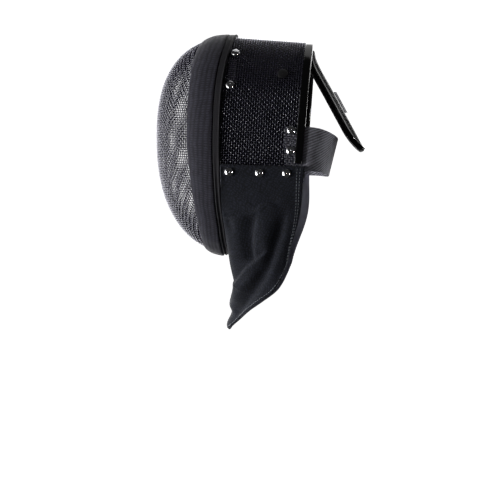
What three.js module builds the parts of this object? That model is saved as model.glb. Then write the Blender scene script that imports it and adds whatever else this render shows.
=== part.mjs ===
// A fencing mask in the form it has when worn: a bulging woven-wire face, a wire wall over the crown
// and down both sides, a padded band over their join, a rear rim with a sprung tongue, an elastic
// head strap and a cloth bib.
// Millimetres, +Z up, the face towards -Y, the wearer's left towards +X.
// The origin is where the crown of the head meets the padding.
import * as THREE from 'three';
import { ParametricGeometry } from 'three/addons/geometries/ParametricGeometry.js';
import { mergeVertices } from 'three/addons/utils/BufferGeometryUtils.js';

// ---- Driving dimensions of the shell: the middle of the woven wire ----
const HALF_WIDTH = 100;
const FOREMOST_Z = -118; // height of the most forward point of the face
const RISE = 132.5; // from there up to the crown
const DROP = 147; // from there down to the chin
const BASE_Y = -45; // plane where the face dome turns into the straight side wall
const BULGE = 102.3; // from that plane to the most forward point
const POWER_UP = 2.5; // superellipse power at the crown
const POWER_DOWN = 2.25; // and at the chin
const CROWN_FALL = 0.077; // how far the side wall sinks for each millimetre rearwards

// ---- Layers, as distances outwards from the middle of the wire ----
const GAP = 0.3; // clearance between neighbouring pieces
const MESH = { inner: -1, outer: 1 };
const COVER = MESH.outer + 2 * GAP; // where everything on the outside of the wire starts
const RIM_INNER = -2.9;
const INSERT = { inner: -5.2, outer: -3.5 }; // strap ends, tabs and the tongue's root
const PADDING = { inner: -11, outer: -6.2 };
const RING_COLUMNS = 44; // the band and the dome share their facets

// ---- Rear edge and lower edges ----
const REAR_Y = 57.3; // rear edge of the rim at the height of the origin
const REAR_LEAN = 0.083; // how far the rear edge moves back for each millimetre up
const MESH_FOOT_Z = -172; // the wire wall's lower edge, behind the bib
const PADDING_FOOT_Z = -158;
const RIM_FOOT_Z = -154;

// The rim's channel from the edge of its outer leg round the web to the edge of its inner leg:
// back is the distance in front of the rear edge, for its outside and its inside
const RIM_SECTION = [
  { back: 10, out: 2.2, insideBack: 10, insideOut: COVER },
  { back: 9, out: 2.8, insideBack: 9, insideOut: COVER },
  { back: 1.2, out: 2.8, insideBack: 1.7, insideOut: COVER },
  { back: 0, out: 1.6, insideBack: 1.7, insideOut: 0.6 },
  { back: 0, out: -1.6, insideBack: 1.7, insideOut: -0.6 },
  { back: 1, out: RIM_INNER, insideBack: 1.7, insideOut: -COVER },
  { back: 6, out: RIM_INNER, insideBack: 6, insideOut: -COVER },
];
const RIM_WEB = 1.7;

// ---- Padded band: its two edges round the loop, by the angle from the crown in degrees ----
const BAND_EDGES = [
  { turn: 0, front: -81, rear: -42 },
  { turn: 26, front: -91.5, rear: -46.3 },
  { turn: 42, front: -97, rear: -52.6 },
  { turn: 60, front: -100, rear: -57.3 },
  { turn: 90, front: -102, rear: -59.5 },
  { turn: 108, front: -99.6, rear: -59.3 },
  { turn: 134, front: -94.2, rear: -57.3 },
  { turn: 151, front: -88.5, rear: -53.7 },
  { turn: 180, front: -83, rear: -50.5 },
];
const BAND_THICKNESS = 3.4;
const BAND_HEM = 1.4; // thickness of the band at its edges
const BINDING_WIDTH = 8.5;
const BINDING_THICKNESS = 2.8;

// ---- Bib ----
const BIB_TOP = { frontY: -56.5, rearY: 49, frontZ: -153, rearZ: -156.4 };
const BIB_CORNER = 0.5; // share of the way to the chin where the top edge turns down along the band
const BIB_THICKNESS = 3;
const BIB_SEAT = COVER + 2 * GAP; // its inner face over the wire
const BIB_CLEAR = 2.4; // between its edge and the band's binding
const BIB_HANG = 5; // how far the cloth bellies out halfway down
// Lower edge, by the share of the way from the rear corner to the tip below the chin
const BIB_LOW = [
  { share: 0, half: 82, y: 25, z: -277 },
  { share: 0.15, half: 81, y: 18, z: -298 },
  { share: 0.3, half: 77, y: 7, z: -316 },
  { share: 0.5, half: 64, y: -12, z: -331 },
  { share: 0.65, half: 47, y: -29, z: -343 },
  { share: 0.82, half: 25, y: -43, z: -356 },
  { share: 0.92, half: 12, y: -50.5, z: -363.5 },
  { share: 1, half: 0, y: -53, z: -366 },
];
// Creases and rolls: a straight run in the side view, and how far the cloth moves out there
const BIB_FOLDS = [
  { name: 'upright valley', fromY: -17, fromZ: -222, toY: -22, toZ: -272, out: -5, width: 12 },
  { name: 'deep valley', fromY: 11, fromZ: -242, toY: -13, toZ: -298, out: -6, width: 11 },
  { name: 'deep valley front', fromY: -13, fromZ: -298, toY: -56, toZ: -345, out: -4, width: 9 },
  { name: 'overlap', fromY: -4, fromZ: -274, toY: -56, toZ: -313, out: -6, width: 9 },
  { name: 'roll', fromY: -10, fromZ: -288, toY: -38, toZ: -324, out: 5, width: 12 },
];

// ---- Elastic strap: a stretch along each side wall, then an arc behind the head ----
const STRAP = {
  endY: 22, arcY: 48, rearY: 93, lean: 12.5, power: 2.3,
  sideTopZ: -106, rearTopZ: -116, sideFootZ: -161.5, rearFootZ: -165.5,
};

// ---- Tongue: its spine in the centre plane, from the root inside the crown to the tip ----
const TONGUE_SPINE = [
  { y: 30, z: 4.5 },
  { y: 44, z: 3.4 },
  { y: 55.5, z: 2.1 },
  { y: 60.3, z: -2.5 },
  { y: 62.8, z: -13 },
  { y: 84.5, z: -54 },
  { y: 105.5, z: -93 },
  { y: 125.6, z: -131 },
];
const TONGUE = { half: 40, curve: 88, plate: 1.8, roundEnd: 40, tipHalf: 9, spreadFrom: 24, spreadTo: 60 };
const LINING = { from: 46, thickness: 6.2, margin: 0.6 };
const PATCH = { from: 92, to: 123, half: 22, thickness: 1 };

// ---- Rivets on each side, at the places where they show from the side ----
const RIVETS = [
  { name: 'bib_front', y: -47.5, z: -162.5, seat: BIB_SEAT + BIB_THICKNESS },
  { name: 'bib_middle', y: -9, z: -163.8, seat: BIB_SEAT + BIB_THICKNESS },
  { name: 'bib_rear', y: 25.3, z: -164.4, seat: BIB_SEAT + BIB_THICKNESS },
  { name: 'strap_upper', y: 31.3, z: -110.5, seat: MESH.outer },
  { name: 'strap_lower', y: 30.5, z: -136.3, seat: MESH.outer },
  { name: 'front_upper', y: -41.5, z: -10.7, seat: MESH.outer },
  { name: 'front_lower', y: -46.8, z: -52.8, seat: MESH.outer },
];
const RIVET = { radius: 5.6, height: 3.2, brim: 0.7 };
const STUD = { y: 19.8, z: -38.4, radius: 6.5, height: 1.8, brim: 0.8 };
const TAB = { y: -44.5, topZ: -16, footZ: -48, width: 10 };

const DEGREE = Math.PI / 180;
const { lerp: mix, clamp, smoothstep } = THREE.MathUtils;

// ---- Small helpers ----

// A smooth curve through one column of a table whose key column rises from row to row. A level end has
// no slope, as where the curve meets its own mirror image.
function follow(rows, key, at, column, level = {}) {
  const last = rows.length - 1;
  const found = rows.findIndex((row) => row[key] >= at);
  const i = clamp(found - 1, 0, last - 1);
  const slope = (a, b) => (rows[b][column] - rows[a][column]) / (rows[b][key] - rows[a][key]);
  const isLevel = (k) => (k === 0 && level.start) || (k === last && level.end);
  const tangent = (k) => (isLevel(k) ? 0 : slope(Math.max(0, k - 1), Math.min(last, k + 1)));
  const span = rows[i + 1][key] - rows[i][key];
  const t = (at - rows[i][key]) / span;
  const [start, rise] = [rows[i][column], rows[i + 1][column] - rows[i][column]];
  const [m, n] = [tangent(i) * span, tangent(i + 1) * span];
  return start + t * (m + t * (3 * rise - 2 * m - n + t * (m + n - 2 * rise)));
}

// Joins equal corners, drops triangles that have shrunk to a line and turns the faces outwards.
function closed(source) {
  source.deleteAttribute('normal');
  source.deleteAttribute('uv');
  const geometry = mergeVertices(source, 1e-3);
  const corners = Array.from(geometry.index.array);
  const kept = [];
  for (let i = 0; i < corners.length; i += 3) {
    const [a, b, c] = corners.slice(i, i + 3);
    if (a !== b && b !== c && c !== a) kept.push(a, b, c);
  }
  const point = (i) => new THREE.Vector3().fromBufferAttribute(geometry.attributes.position, i);
  let volume = 0;
  for (let i = 0; i < kept.length; i += 3) {
    volume += point(kept[i]).dot(point(kept[i + 1]).cross(point(kept[i + 2])));
  }
  geometry.setIndex(volume < 0 ? kept.reverse() : kept);
  geometry.computeVertexNormals();
  return geometry;
}

// A closed wall between an outer face (side 1) and an inner face (side 0). pointAt(a, b, side) gives
// a point: a runs along the wall and b across it. A ring joins up in a; an open wall has both its ends
// closed on the line midway between its faces.
function wall(columns, rows, pointAt, ring = false) {
  const caps = ring ? 0 : 1;
  const around = 2 * rows + 2;
  const across = columns + 2 * caps;
  const surface = (u, v, target) => {
    const step = Math.round(v * around) % around;
    const side = step <= rows ? 1 : 0;
    const b = side ? step / rows : 1 - (step - rows - 1) / rows;
    const column = Math.round(u * across) - caps;
    const a = ring ? (column % columns) / columns : clamp(column / columns, 0, 1);
    target.copy(pointAt(a, b, side));
    if (column < 0 || column > columns) target.lerp(pointAt(a, b, 1 - side), 0.5);
  };
  return closed(new ParametricGeometry(surface, across, around));
}

// ---- The shell ----

// Superellipse power in the direction turn, an angle from the crown through the left side.
function power(turn) {
  return mix(POWER_DOWN, POWER_UP, (1 + Math.cos(turn)) / 2);
}

// Distance from the centre line to the outline in the direction turn, seen from the front.
function outline(turn) {
  const n = power(turn);
  const tall = Math.cos(turn) > 0 ? RISE : DROP;
  const sum = Math.abs(Math.sin(turn) / HALF_WIDTH) ** n + Math.abs(Math.cos(turn) / tall) ** n;
  return sum ** (-1 / n);
}

// A point of the shell, `out` millimetres outside the middle of the wire.
function shell(turn, y, out = 0) {
  const n = power(turn);
  const ahead = Math.max(0, (BASE_Y - y) / BULGE);
  const behind = Math.max(0, y - BASE_Y);
  const radius = outline(turn) * Math.max(0, 1 - ahead ** n) ** (1 / n);
  const [x, height] = [radius * Math.sin(turn), radius * Math.cos(turn)];
  const tall = height > 0 ? RISE : DROP;
  const across = (Math.sign(x) * Math.abs(x / HALF_WIDTH) ** (n - 1)) / HALF_WIDTH;
  const up = (Math.sign(height) * Math.abs(height / tall) ** (n - 1)) / tall;
  const forward = ahead > 0 ? -(ahead ** (n - 1)) / BULGE : CROWN_FALL * up * Math.sign(behind);
  return new THREE.Vector3(x, y, FOREMOST_Z + height - CROWN_FALL * behind)
    .addScaledVector(new THREE.Vector3(across, forward, up).normalize(), out);
}

// The direction turn of a place on the left side wall, given its depth and height.
function turnAt(y, z) {
  const height = z - FOREMOST_Z + CROWN_FALL * Math.max(0, y - BASE_Y);
  const tall = height > 0 ? RISE : DROP;
  let turn = Math.PI / 2;
  for (let pass = 0; pass < 6; pass += 1) {
    const n = power(turn);
    turn = Math.atan2(HALF_WIDTH * (1 - Math.abs(height / tall) ** n) ** (1 / n), height);
  }
  return turn;
}

// The rear edge leans back towards the crown.
function rearEdge(turn) {
  return REAR_Y + REAR_LEAN * (FOREMOST_Z + outline(turn) * Math.cos(turn));
}

function bandEdge(turn, column) {
  const degrees = Math.abs(turn) / DEGREE;
  const level = { start: true, end: true };
  return follow(BAND_EDGES, 'turn', Math.min(degrees, 360 - degrees), column, level);
}

// The line under the band where the two meshes meet.
function meshJoin(turn) {
  return mix(bandEdge(turn, 'front'), bandEdge(turn, 'rear'), 0.55);
}

// ---- Shell pieces ----

// The dome's columns fan out from its most forward point.
function frontMesh() {
  return wall(RING_COLUMNS, 12, (a, b, side) => {
    const turn = a * 2 * Math.PI;
    const n = power(turn);
    const ahead = (BASE_Y - meshJoin(turn)) / BULGE;
    const lean = b * Math.acos(ahead ** (n / 2));
    const y = BASE_Y - BULGE * Math.cos(lean) ** (2 / n);
    return shell(turn, y, side ? MESH.outer : MESH.inner);
  }, true);
}

// A layer of the wall that runs from its left foot over the crown to its right foot.
function archWall(columns, rows, layer, footZ, frontAt, rearAt) {
  return wall(columns, rows, (a, b, side) => {
    const roughTurn = (1 - 2 * a) * turnAt(0, footZ);
    const y = mix(frontAt(roughTurn), rearAt(roughTurn), b);
    return shell((1 - 2 * a) * turnAt(y, footZ), y, side ? layer.outer : layer.inner);
  });
}

function sideMesh() {
  const frontAt = (turn) => meshJoin(turn) + 2 * GAP;
  const rearAt = (turn) => rearEdge(turn) - RIM_WEB - GAP;
  return archWall(36, 4, MESH, MESH_FOOT_Z, frontAt, rearAt);
}

function innerPadding() {
  const frontAt = (turn) => bandEdge(turn, 'rear') - 3;
  const rearAt = (turn) => rearEdge(turn) - 4;
  return archWall(30, 3, PADDING, PADDING_FOOT_Z, frontAt, rearAt);
}

function rimStrip() {
  const corners = RIM_SECTION.length - 1;
  return wall(36, corners, (a, b, side) => {
    const row = RIM_SECTION[Math.round(b * corners)];
    const turn = (1 - 2 * a) * turnAt(REAR_Y, RIM_FOOT_Z);
    const y = rearEdge(turn) - (side ? row.back : row.insideBack);
    return shell(turn, y, side ? row.out : row.insideOut);
  });
}

// A ring of cloth over the join: crowned in the middle and thin at its hems.
function bandRing(rows, frontAt, rearAt, thickness) {
  return wall(RING_COLUMNS, rows, (a, b, side) => {
    const turn = a * 2 * Math.PI;
    const crown = mix(BAND_HEM, thickness, Math.sqrt(1 - Math.abs(2 * b - 1) ** 4));
    return shell(turn, mix(frontAt(turn), rearAt(turn), b), COVER + side * crown);
  }, true);
}

function paddedBand() {
  const frontAt = (turn) => bandEdge(turn, 'front');
  const rearAt = (turn) => bandEdge(turn, 'rear') - BINDING_WIDTH - GAP;
  return bandRing(6, frontAt, rearAt, BAND_THICKNESS);
}

function bandBinding() {
  const frontAt = (turn) => bandEdge(turn, 'rear') - BINDING_WIDTH;
  const rearAt = (turn) => bandEdge(turn, 'rear');
  return bandRing(4, frontAt, rearAt, BINDING_THICKNESS);
}

// ---- Bib ----

// The top edge: rearwards part along the foot of the wire wall, then down along the band to the chin.
function bibTop(share) {
  const out = BIB_SEAT + BIB_THICKNESS / 2;
  const { frontY, rearY, frontZ, rearZ } = BIB_TOP;
  if (share <= BIB_CORNER) {
    const way = share / BIB_CORNER;
    const y = mix(rearY, frontY, way);
    return shell(turnAt(y, mix(rearZ, frontZ, way)), y, out);
  }
  const way = (share - BIB_CORNER) / (1 - BIB_CORNER);
  const turn = mix(turnAt(frontY, frontZ), Math.PI, way);
  return shell(turn, bandEdge(turn, 'rear') + BIB_CLEAR, out);
}

// The left half of the smooth cloth: each line runs from the top edge to the lower edge and bellies
// out on its way, rearwards at the rear edge and sideways elsewhere.
function bibSmooth(share, down) {
  const low = new THREE.Vector3(
    follow(BIB_LOW, 'share', share, 'half'),
    follow(BIB_LOW, 'share', share, 'y', { end: true }),
    follow(BIB_LOW, 'share', share, 'z', { end: true }),
  );
  const belly = BIB_HANG * Math.sin(Math.PI * down) ** 2;
  const atRear = Math.max(0, 1 - share / 0.3);
  const aside = Math.max(0, 1 - share) * (1 - atRear);
  return bibTop(share).lerp(low, down).add(new THREE.Vector3(belly * aside, belly * atRear, 0));
}

function foldAt(y, z) {
  return BIB_FOLDS.reduce((sum, fold) => {
    const run = new THREE.Vector2(fold.toY - fold.fromY, fold.toZ - fold.fromZ);
    const offset = new THREE.Vector2(y - fold.fromY, z - fold.fromZ);
    const way = clamp(offset.dot(run) / run.lengthSq(), 0, 1);
    const distance = offset.addScaledVector(run, -way).length();
    return sum + fold.out * Math.exp(-((distance / fold.width) ** 2));
  }, 0);
}

function bib() {
  const step = 0.01;
  return wall(40, 16, (a, b, side) => {
    const share = 1 - Math.abs(2 * a - 1);
    const place = bibSmooth(share, b);
    const along = bibSmooth(Math.min(1, share + step), b).sub(bibSmooth(Math.max(0, share - step), b));
    const down = bibSmooth(share, b + step).sub(bibSmooth(share, b - step));
    const normal = share > 1 - step ? new THREE.Vector3(0, -1, 0) : along.cross(down).normalize();
    const out = foldAt(place.y, place.z) * smoothstep(b, 0, 0.15) + (side - 0.5) * BIB_THICKNESS;
    place.addScaledVector(normal, out);
    if (a > 0.5) place.x *= -1;
    return place;
  });
}

// ---- Elastic strap ----

function elasticStrap() {
  const { endY, arcY, rearY, lean, sideTopZ, rearTopZ, sideFootZ, rearFootZ } = STRAP;
  const sideShare = 0.15;
  return wall(40, 4, (a, b, side) => {
    const left = a <= 0.5;
    const way = left ? 2 * a : 2 - 2 * a;
    const depth = side ? INSERT.outer : INSERT.inner;
    const bend = clamp((way - sideShare) / (1 - sideShare), 0, 1) * 90 * DEGREE;
    const back = Math.sin(bend) ** 2;
    const z = mix(mix(sideTopZ, rearTopZ, back), mix(sideFootZ, rearFootZ, back), 1 - b);
    const y = mix(endY, arcY, Math.min(1, way / sideShare));
    const start = shell(turnAt(y, z), y, depth);
    const [across, behind] = [Math.cos(bend), Math.sin(bend)].map((v) => v ** (2 / STRAP.power));
    const reach = rearY + depth - lean * (1 - b) - arcY;
    const place = new THREE.Vector3(start.x * across, start.y + reach * behind, z);
    if (!left) place.x *= -1;
    return place;
  });
}

// ---- Tongue ----

const tongueSpine = new THREE.CatmullRomCurve3(
  TONGUE_SPINE.map(({ y, z }) => new THREE.Vector3(0, y, z)),
);
const tongueLength = tongueSpine.getLength();

// Half the tongue's width at a distance along its spine: straight sides and a rounded end.
function tongueHalf(length) {
  const past = clamp((length - tongueLength + TONGUE.roundEnd) / TONGUE.roundEnd, 0, 1);
  return mix(TONGUE.tipHalf, TONGUE.half, Math.sqrt(1 - past ** 2));
}

// A point `length` along the spine, x off the centre plane and `out` outside the plate's middle.
// Across its width the tongue follows the crown at its root and a rounder arc further down.
function tonguePoint(length, x, out) {
  const share = clamp(length / tongueLength, 0, 1);
  const ahead = tongueSpine.getTangentAt(share);
  const outwards = new THREE.Vector3(0, -ahead.z, ahead.y);
  const crownDrop = RISE * (1 - (1 - Math.abs(x / HALF_WIDTH) ** POWER_UP) ** (1 / POWER_UP));
  const arcDrop = TONGUE.curve - Math.sqrt(TONGUE.curve ** 2 - x ** 2);
  const drop = mix(crownDrop, arcDrop, smoothstep(length, TONGUE.spreadFrom, TONGUE.spreadTo));
  return tongueSpine.getPointAt(share).setX(x).addScaledVector(outwards, out - drop);
}

function tongueSheet(columns, rows, from, to, halfAt, outer, inner) {
  return wall(columns, rows, (a, b, side) => {
    const length = mix(from, to, a);
    return tonguePoint(length, (2 * b - 1) * halfAt(length), side ? outer : inner);
  });
}

function tongue() {
  return tongueSheet(26, 6, 0, tongueLength, tongueHalf, TONGUE.plate / 2, -TONGUE.plate / 2);
}

function tongueLining() {
  const face = -TONGUE.plate / 2 - GAP;
  const halfAt = (length) => tongueHalf(length) - LINING.margin;
  return tongueSheet(16, 6, LINING.from, tongueLength, halfAt, face, face - LINING.thickness);
}

function tonguePatch() {
  const face = TONGUE.plate / 2 + GAP;
  return tongueSheet(4, 4, PATCH.from, PATCH.to, () => PATCH.half, face + PATCH.thickness, face);
}

// ---- Hardware ----

// A domed head: a flat underside, a short upright brim and a low dome.
function domedHead({ radius, height, brim }, sides) {
  const dome = [0, 0.35, 0.7, 1].map((share) => new THREE.Vector2(
    radius * Math.cos(share * 90 * DEGREE),
    brim + (height - brim) * Math.sin(share * 90 * DEGREE),
  ));
  dome[dome.length - 1].x = 0;
  const profile = [new THREE.Vector2(0, 0), new THREE.Vector2(radius, 0), ...dome];
  return closed(new THREE.LatheGeometry(profile, sides));
}

// Stands a head on the shell at a depth and height, its axis along the outward direction.
function placeOnShell(mesh, { y, z }, seat, sign) {
  const turn = sign * turnAt(y, z);
  const foot = shell(turn, y, seat + GAP);
  const outwards = shell(turn, y, seat + 1).sub(shell(turn, y, seat)).normalize();
  mesh.position.copy(foot);
  mesh.quaternion.setFromUnitVectors(new THREE.Vector3(0, 1, 0), outwards);
  return mesh;
}

// A narrow tab behind the wire, between the two upper front rivets.
function paddingTab(sign) {
  return wall(5, 2, (a, b, side) => {
    const y = TAB.y + (b - 0.5) * TAB.width;
    const turn = sign * turnAt(y, mix(TAB.topZ, TAB.footZ, a));
    return shell(turn, y, side ? INSERT.outer : INSERT.inner);
  });
}

// ---- Materials ----

const finish = (color, roughness, metalness = 0) =>
  new THREE.MeshStandardMaterial({ color, roughness, metalness });

const MATERIALS = {
  paintedWire: () => finish(0x2b2b2e, 0.45, 0.3),
  bandCloth: () => finish(0x2f2e34, 0.9),
  bindingTape: () => finish(0x232227, 0.85),
  glossPlastic: () => finish(0x0b0b0d, 0.2),
  greyPatch: () => finish(0x9a9aa0, 0.6),
  bibCloth: () => finish(0x1d1e23, 0.92),
  elastic: () => finish(0x48474d, 0.88),
  foam: () => finish(0x101013, 0.95),
  tabCloth: () => finish(0x55535c, 0.9),
  chrome: () => finish(0xc8c8cc, 0.15, 1),
  blackStud: () => finish(0x121214, 0.4),
};

// ---- Assembly ----

const mask = new THREE.Group();

function add(name, geometry, material) {
  const mesh = new THREE.Mesh(geometry, material());
  mesh.name = name;
  mask.add(mesh);
  return mesh;
}

add('front_mesh', frontMesh(), MATERIALS.paintedWire);
add('side_mesh', sideMesh(), MATERIALS.paintedWire);
add('padded_band', paddedBand(), MATERIALS.bandCloth);
add('band_binding', bandBinding(), MATERIALS.bindingTape);
add('rim_strip', rimStrip(), MATERIALS.glossPlastic);
add('tongue', tongue(), MATERIALS.glossPlastic);
add('tongue_lining', tongueLining(), MATERIALS.foam);
add('tongue_patch', tonguePatch(), MATERIALS.greyPatch);
add('elastic_strap', elasticStrap(), MATERIALS.elastic);
add('bib', bib(), MATERIALS.bibCloth);
add('inner_padding', innerPadding(), MATERIALS.foam);

for (const [side, sign] of [['left', 1], ['right', -1]]) {
  add(`padding_tab_${side}`, paddingTab(sign), MATERIALS.tabCloth);
  for (const rivet of RIVETS) {
    const head = add(`rivet_${rivet.name}_${side}`, domedHead(RIVET, 12), MATERIALS.chrome);
    placeOnShell(head, rivet, rivet.seat, sign);
  }
  const stud = add(`black_stud_${side}`, domedHead(STUD, 14), MATERIALS.blackStud);
  placeOnShell(stud, STUD, MESH.outer, sign);
}

export default mask;
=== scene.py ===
"""A fencing mask in the form it has when worn: woven wire, padded band, glossy rear rim and tongue,
elastic strap and cloth bib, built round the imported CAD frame.

Shapes are worked out in millimetres, +Z up, the face towards -Y and the wearer's left towards +X,
with the origin where the crown of the head meets the padding. skin() turns them to metres.
"""

import bpy
import numpy as np
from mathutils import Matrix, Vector


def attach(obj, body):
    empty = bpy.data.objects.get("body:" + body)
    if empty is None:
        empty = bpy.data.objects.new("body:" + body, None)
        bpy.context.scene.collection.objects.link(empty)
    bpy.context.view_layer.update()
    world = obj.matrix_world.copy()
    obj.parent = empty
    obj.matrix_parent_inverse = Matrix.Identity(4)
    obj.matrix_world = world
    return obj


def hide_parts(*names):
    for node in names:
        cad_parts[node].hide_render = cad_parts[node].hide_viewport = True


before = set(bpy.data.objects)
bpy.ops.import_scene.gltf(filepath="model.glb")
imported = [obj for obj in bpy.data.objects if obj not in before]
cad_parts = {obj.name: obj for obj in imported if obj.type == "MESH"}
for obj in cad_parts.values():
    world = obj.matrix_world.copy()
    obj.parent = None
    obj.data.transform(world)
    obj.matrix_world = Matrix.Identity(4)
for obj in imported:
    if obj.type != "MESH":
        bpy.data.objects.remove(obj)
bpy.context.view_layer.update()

MM = 0.001

# ---- The shell: the middle of the woven wire ----
HALF_WIDTH = 100.0
FOREMOST_Z = -118.0  # height of the most forward point of the face
RISE, DROP = 132.5, 147.0  # from there up to the crown and down to the chin
BASE_Y = -45.0  # plane where the face dome turns into the straight side wall
BULGE = 102.3  # from that plane to the most forward point
POWER_UP, POWER_DOWN = 2.5, 2.25  # superellipse powers at the crown and the chin
CROWN_FALL = 0.077  # how far the side wall sinks for each millimetre rearwards

# ---- Layers, as distances outwards from the middle of the wire ----
COVER = 1.6  # where everything on the outside of the wire starts
MESH_OUTER = 1.0
INSERT_INNER, INSERT_OUTER = -5.2, -3.5
PADDING_INNER, PADDING_OUTER = -11.0, -6.2
GAP = 0.3

REAR_Y, REAR_LEAN = 57.3, 0.083  # rear edge of the rim, and how far it leans back for each mm up
MESH_FOOT_Z, PADDING_FOOT_Z, RIM_FOOT_Z = -172.0, -163.0, -154.0
PADDING_BEFORE, PADDING_SHORT = 8.0, 2.0  # how far it runs on under the band, and stops short of the rim

# ---- Woven wire ----
PITCH = 3.1  # from wire to wire
FRONT_WIRE, SIDE_WIRE = 0.62, 0.52  # radii, with the coat of paint
ARCHED_BEND, STRAIGHT_BEND = 1.5, 0.5  # how far each side wire bends, in wire radii
MESH_TUCK, RIM_TUCK = 1.5, 2.2  # how far wires run on past the meshes' join, and end short of the rim's edge
DOME_WIRES, DOME_REACH = 65, 170.0  # wires each side of the middle, and the last one's distance

# ---- Padded band: angle from the crown in degrees, front edge, rear edge ----
BAND_EDGES = np.array([
    (0, -81, -42), (26, -91.5, -46.3), (42, -97, -52.6), (60, -100, -57.3), (90, -102, -59.5),
    (108, -99.6, -59.3), (134, -94.2, -57.3), (151, -88.5, -53.7), (180, -83, -50.5),
])
BAND_THICKNESS = 3.4
BINDING_WIDTH = 8.5
RING_TURNS = 300  # sections round a ring of cloth


# ---- Small tools ----


def unit(v):
    """v divided by its length."""
    return v / np.maximum(np.linalg.norm(v, axis=-1, keepdims=True), 1e-9)


def mix(a, b, share):
    """The straight line from a to b, share of the way along."""
    return a + (b - a) * share


def smoothstep(x, low, high):
    """0 below low and 1 above high, joined by 3t^2 - 2t^3."""
    t = np.clip((x - low) / (high - low), 0, 1)
    return t * t * (3 - 2 * t)


def follow(keys, values, at, level=(False, False)):
    """A smooth curve through values at rising keys: cubic pieces, each key's slope that between its
    two neighbours, or none at an end that is level."""
    keys, values = np.asarray(keys, float), np.asarray(values, float)
    last = len(keys) - 1
    order = np.arange(last + 1)
    before, after = np.maximum(order - 1, 0), np.minimum(order + 1, last)
    slope = (values[after] - values[before]) / (keys[after] - keys[before])
    slope[[0, -1]] = np.where(level, 0, slope[[0, -1]])
    i = np.clip(np.searchsorted(keys, at) - 1, 0, last - 1)
    span = keys[i + 1] - keys[i]
    t = (at - keys[i]) / span
    start, rise = values[i], values[i + 1] - values[i]
    m, n = slope[i] * span, slope[i + 1] * span
    return start + t * (m + t * (3 * rise - 2 * m - n + t * (m + n - 2 * rise)))


def travelled(points, axis=0):
    """Distance covered along a row of points, from its first."""
    step = np.linalg.norm(np.diff(points, axis=axis), axis=-1)
    first = np.zeros_like(np.take(step, [0], axis=axis))
    return np.concatenate([first, np.cumsum(step, axis=axis)], axis=axis)


# ---- The shell's formulas ----


def power(turn):
    """Superellipse power in the direction turn, an angle from the crown through the left side."""
    return mix(POWER_DOWN, POWER_UP, (1 + np.cos(turn)) / 2)


def outline(turn):
    """Distance from the centre line to the outline seen from the front: |sin/width|^n + |cos/height|^n
    to the power -1/n."""
    n = power(turn)
    tall = np.where(np.cos(turn) > 0, RISE, DROP)
    return (np.abs(np.sin(turn) / HALF_WIDTH) ** n + np.abs(np.cos(turn) / tall) ** n) ** (-1 / n)


def shell_frame(turn, y):
    """Point of the shell and its outward direction. The dome's outline shrinks forwards by
    (1 - ahead^n)^(1/n), and the side wall is the outline carried rearwards on a slight fall."""
    turn, y = np.broadcast_arrays(np.asarray(turn, float), np.asarray(y, float))
    n = power(turn)
    ahead = np.clip((BASE_Y - y) / BULGE, 0, 1)
    behind = np.maximum(0, y - BASE_Y)
    radius = outline(turn) * (1 - ahead**n) ** (1 / n)
    x, height = radius * np.sin(turn), radius * np.cos(turn)
    tall = np.where(height > 0, RISE, DROP)
    across = np.sign(x) * np.abs(x / HALF_WIDTH) ** (n - 1) / HALF_WIDTH
    up = np.sign(height) * np.abs(height / tall) ** (n - 1) / tall
    forward = np.where(ahead > 0, -(ahead ** (n - 1)) / BULGE, CROWN_FALL * up * np.sign(behind))
    place = np.stack([x, y, FOREMOST_Z + height - CROWN_FALL * behind], -1)
    return place, unit(np.stack([across, forward, up], -1))


def shell(turn, y, out=0.0):
    """A point of the shell, out millimetres outside the middle of the wire."""
    place, outwards = shell_frame(turn, y)
    return place + np.asarray(out, float)[..., None] * outwards


def turn_at(y, z):
    """The direction turn of a place on the left side wall, found by repeating the outline's formula."""
    height = z - FOREMOST_Z + CROWN_FALL * np.maximum(0, y - BASE_Y)
    tall = np.where(height > 0, RISE, DROP)
    turn = np.full(np.shape(height), np.pi / 2)
    for _ in range(8):
        n = power(turn)
        turn = np.arctan2(HALF_WIDTH * (1 - np.abs(height / tall) ** n) ** (1 / n), height)
    return turn


def rear_edge(turn):
    """The rear edge leans back towards the crown."""
    return REAR_Y + REAR_LEAN * (FOREMOST_Z + outline(turn) * np.cos(turn))


def band_edge(turn, column):
    """The band's front (column 1) or rear (column 2) edge, alike on both sides."""
    degrees = np.degrees(np.abs(turn)) % 360
    degrees = np.minimum(degrees, 360 - degrees)
    return follow(BAND_EDGES[:, 0], BAND_EDGES[:, column], degrees, (True, True))


def mesh_join(turn):
    """The line under the band where the two meshes meet."""
    return mix(band_edge(turn, 1), band_edge(turn, 2), 0.55)


# ---- Meshes ----


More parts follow.
